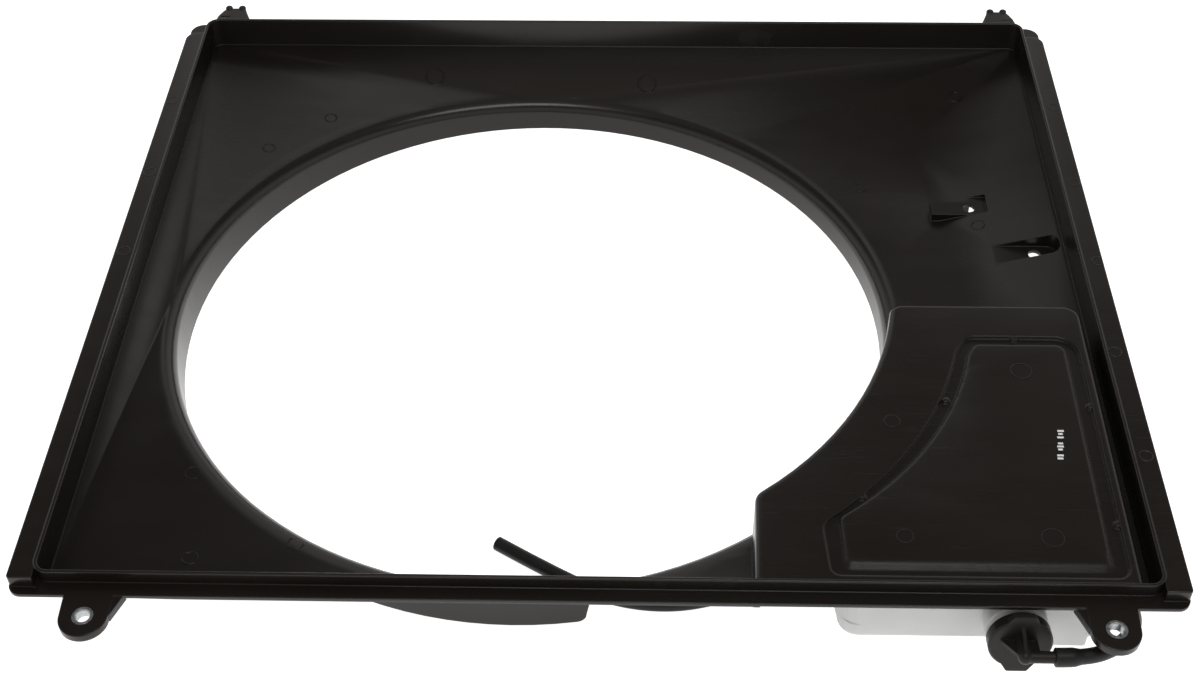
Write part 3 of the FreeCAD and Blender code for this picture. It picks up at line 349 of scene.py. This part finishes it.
def tube(name, pts, outer, bore, bore_depth, sides=28):
    """A swept tube: outer(s) is the outside radius at the length s; the far end shows its bore."""
    lengths = [0.0]
    for a, b in zip(pts[:-1], pts[1:]):
        lengths.append(lengths[-1] + (b - a).length)
    total = lengths[-1]
    tangents = []
    for i in range(len(pts)):
        tangents.append((pts[min(i + 1, len(pts) - 1)] - pts[max(i - 1, 0)]).normalized())
    side = tangents[0].cross(Vector((0, 0, 1))).normalized()
    verts, faces = [], []

    def ring(c, t, s, r):
        o = t.cross(s)
        start = len(verts)
        for k in range(sides):
            a = 2 * math.pi * k / sides
            verts.append(c + (s * math.cos(a) + o * math.sin(a)) * r)
        return start

    rows = []
    for i, (c, t) in enumerate(zip(pts, tangents)):
        side = (side - t * side.dot(t)).normalized()
        r = outer(lengths[i], total)
        if i == 0:
            rows.append(ring(c, t, side, bore))
            rows.append(ring(c, t, side, r - 0.0006))
            rows.append(ring(c + t * 0.0005, t, side, r))
            continue
        if i == len(pts) - 1:
            rows.append(ring(c - t * 0.0004, t, side, r))
            rows.append(ring(c, t, side, r - 0.0004))
            rows.append(ring(c, t, side, bore + 0.0002))
            rows.append(ring(c - t * 0.0003, t, side, bore))
            continue
        rows.append(ring(c, t, side, r))
    end = len(pts) - 1
    inner = []
    depth_left = bore_depth
    i = end
    s2 = side
    while i > 0 and total - lengths[i - 1] < depth_left:
        i -= 1
        s2 = (s2 - tangents[i] * s2.dot(tangents[i])).normalized()
        rows.append(ring(pts[i], tangents[i], s2, bore))
    for a, b in zip(rows[:-1], rows[1:]):
        for k in range(sides):
            n = (k + 1) % sides
            faces.append((a + k, a + n, b + n, b + k))
    faces.append(tuple(rows[0] + k for k in range(sides))[::-1])
    faces.append(tuple(rows[-1] + k for k in range(sides)))
    mesh = bpy.data.meshes.new(name)
    mesh.from_pydata([tuple(v) for v in verts], [], faces)
    mesh.validate()
    bm = bmesh.new()
    bm.from_mesh(mesh)
    bmesh.ops.recalc_face_normals(bm, faces=bm.faces)
    for f in bm.faces:
        f.smooth = len(f.verts) == 4
    for e in bm.edges:
        e.smooth = e.calc_face_angle(0.0) < math.radians(40)
    bm.to_mesh(mesh)
    bm.free()
    return mesh, total


def hose_radius(s, total):
    """Stretched over the nipple at its first end."""
    t = min(max((s - 0.0105) / 0.006, 0.0), 1.0)
    return 0.00595 + (0.00485 - 0.00595) * (t * t * (3 - 2 * t))


hose_mesh, hose_length = tube("overflow_hose_tube", line, hose_radius, 0.0031, 0.035)
hose_mesh.materials.append(HOSE)
hose = bpy.data.objects.new("overflow_hose_tube", hose_mesh)
bpy.context.scene.collection.objects.link(hose)
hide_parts("overflow_hose")
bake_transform(hose)

# ---------------------------------------------------------------- moulding marks on the shroud
bm = bmesh.new()
bm.from_mesh(shroud.data)
surface = BVHTree.FromBMesh(bm)
bm.free()


def hit(px, py):
    """Where the camera's line through a point of the view meets the shroud."""
    place, normal, _, _ = surface.ray_cast(eye, through(px, py))
    if place is not None and normal.dot(through(px, py)) > 0:
        normal = -normal
    return place, normal


def frame_on(normal, toward=Vector((1, 0, 0))):
    a = (toward - normal * toward.dot(normal)).normalized()
    return a, normal.cross(a)


def press(place, normal, lift):
    """The surface point under a place, lifted along the first surface's normal, or None off the surface."""
    p, n, _, _ = surface.ray_cast(place + normal * 0.004, -normal)
    if p is None or (p - place).length > 0.004:
        return None
    if n.dot(normal) < 0:
        n = -n
    if n.dot(normal) < 0.85:
        return None
    return p + n * lift


def circle_mark(parts, px, py, radius, width=0.0008, height=0.0002, steps=44):
    place, normal = hit(px, py)
    if place is None:
        return
    a, b = frame_on(normal)
    verts, faces = parts
    columns = []
    for k in range(steps):
        t = 2 * math.pi * k / steps
        w = a * math.cos(t) + b * math.sin(t)
        column = [press(place + w * r, normal, h) for r, h in
                  ((radius - width, -0.0001), (radius - width * 0.4, height), (radius + width * 0.4, height), (radius + width, -0.0001))]
        if None in column:
            columns.append(None)
        else:
            columns.append(len(verts))
            verts.extend(column)
    for k in range(steps):
        m, n = columns[k], columns[(k + 1) % steps]
        if m is None or n is None:
            continue
        for j in range(3):
            faces.append((m + j, n + j, n + j + 1, m + j + 1))
        faces.append((m + 3, n + 3, n, m))


def mesh_of(name, parts):
    mesh = bpy.data.meshes.new(name)
    mesh.from_pydata([tuple(v) for v in parts[0]], [], parts[1])
    mesh.validate()
    b = bmesh.new()
    b.from_mesh(mesh)
    bmesh.ops.recalc_face_normals(b, faces=b.faces)
    b.to_mesh(mesh)
    b.free()
    return mesh


marks = ([], [])
for px, py, r in ((647, 84, 7.6), (435, 77, 7.6), (331, 118, 4.8), (269, 148, 4.8), (193, 473, 5.2), (190, 558, 5.0), (296, 543, 5.0),
                  (660, 570, 5.0), (860, 188, 5.0), (851, 112, 5.0), (955, 97, 5.0), (978, 225, 5.0), (892, 421, 5.2), (1053, 538, 7.0),
                  (905, 536, 5.2), (1021, 371, 7.0), (172, 100, 4.6), (150, 172, 4.6), (124, 251, 4.6), (1054, 107, 4.4), (1074, 182, 4.4),
                  (1098, 261, 4.4), (1115, 352, 4.4), (1146, 456, 4.4)):
    circle_mark(marks, px, py, r / 1000.0)
add("pin_marks", mesh_of("pin_marks", marks), PP, "shroud")

# a stamp of plain bars where the real part carries its date
bars = ([], [])
for i, (py, long) in enumerate(((431, 1.0), (434, 0.7), (437.5, 1.0), (443.5, 0.8), (446.5, 1.0), (449.5, 0.7), (455.5, 1.0), (458.5, 0.9))):
    place, normal = hit(1060.5, py)
    if place is None:
        continue
    a, b = frame_on(normal, Vector((1, 0, 0)))
    verts, faces = bars
    base = len(verts)
    for h in (0.00002, 0.00008):
        for s, t in ((-1, -1), (1, -1), (1, 1), (-1, 1)):
            verts.append(place + a * (s * 0.0021 * long) + b * (t * 0.0008) + normal * h)
    faces += [(base + 4, base + 5, base + 6, base + 7), (base, base + 3, base + 2, base + 1)]
    for k in range(4):
        n = (k + 1) % 4
        faces.append((base + k, base + n, base + 4 + n, base + 4 + k))
add("stamp_bars", mesh_of("stamp_bars", bars), INK, "shroud")

# ---------------------------------------------------------------- studio
floor_mesh = bpy.data.meshes.new("floor")
floor_mesh.from_pydata([(-6, -5, 0), (6, -5, 0), (6, 9, 0), (-6, 9, 0)], [], [(0, 1, 2, 3)])
floor = bpy.data.objects.new("floor", floor_mesh)
floor.location.z = -0.0006
bpy.context.scene.collection.objects.link(floor)
fm = bpy.data.materials.new("floor_white")
fm.use_nodes = True
fb = fm.node_tree.nodes["Principled BSDF"]
fb.inputs["Base Color"].default_value = (0.8, 0.8, 0.8, 1.0)
fb.inputs["Roughness"].default_value = 0.9
fb.inputs["Emission Color"].default_value = (1.0, 1.0, 1.0, 1.0)
fb.inputs["Emission Strength"].default_value = 0.93
floor_mesh.materials.append(fm)

world = bpy.data.worlds.new("studio")
world.use_nodes = True
wt = world.node_tree
bg = wt.nodes["Background"]
bg.inputs["Strength"].default_value = 1.0
wco = wt.nodes.new("ShaderNodeTexCoord")
wsep = wt.nodes.new("ShaderNodeSeparateXYZ")
wt.links.new(wco.outputs["Generated"], wsep.inputs[0])
wramp = wt.nodes.new("ShaderNodeValToRGB")
wt.links.new(wsep.outputs["Z"], wramp.inputs["Fac"])
stops = [(0.0, (0.80, 0.79, 0.79)), (0.15, (0.95, 0.94, 0.94)), (0.46, (0.98, 0.94, 0.93)), (0.57, (0.42, 0.39, 0.37)),
         (0.67, (0.105, 0.094, 0.087)), (0.82, (0.13, 0.117, 0.108)), (0.93, (0.36, 0.33, 0.31)), (1.0, (0.52, 0.48, 0.45))]
el = wramp.color_ramp.elements
el[0].position, el[0].color = stops[0][0], stops[0][1] + (1.0,)
el[1].position, el[1].color = stops[-1][0], stops[-1][1] + (1.0,)
for pos, col in stops[1:-1]:
    x = el.new(pos)
    x.color = col + (1.0,)
wt.links.new(wramp.outputs[0], bg.inputs["Color"])
bpy.context.scene.world = world


def soft_light(name, place, aim, size_x, size_y, power, colour=(1.0, 1.0, 1.0)):
    data = bpy.data.lights.new(name, "AREA")
    data.shape = "RECTANGLE"
    data.size, data.size_y = size_x, size_y
    data.energy = power
    data.color = colour
    o = bpy.data.objects.new(name, data)
    o.location = place
    o.rotation_mode = "QUATERNION"
    o.rotation_quaternion = (Vector(aim) - Vector(place)).to_track_quat("-Z", "Y")
    bpy.context.scene.collection.objects.link(o)
    return o


soft_light("top_front", (0.25, -0.85, 2.2), (0.25, -0.85, 0.0), 1.3, 0.8, 20.0)
soft_light("far_high", (-0.20, 1.4, 1.5), (-0.2, 0.1, 0.0), 0.50, 0.5, 0.9)
bpy.context.scene.view_settings.view_transform = "Standard"
bpy.context.scene.view_settings.look = "None"
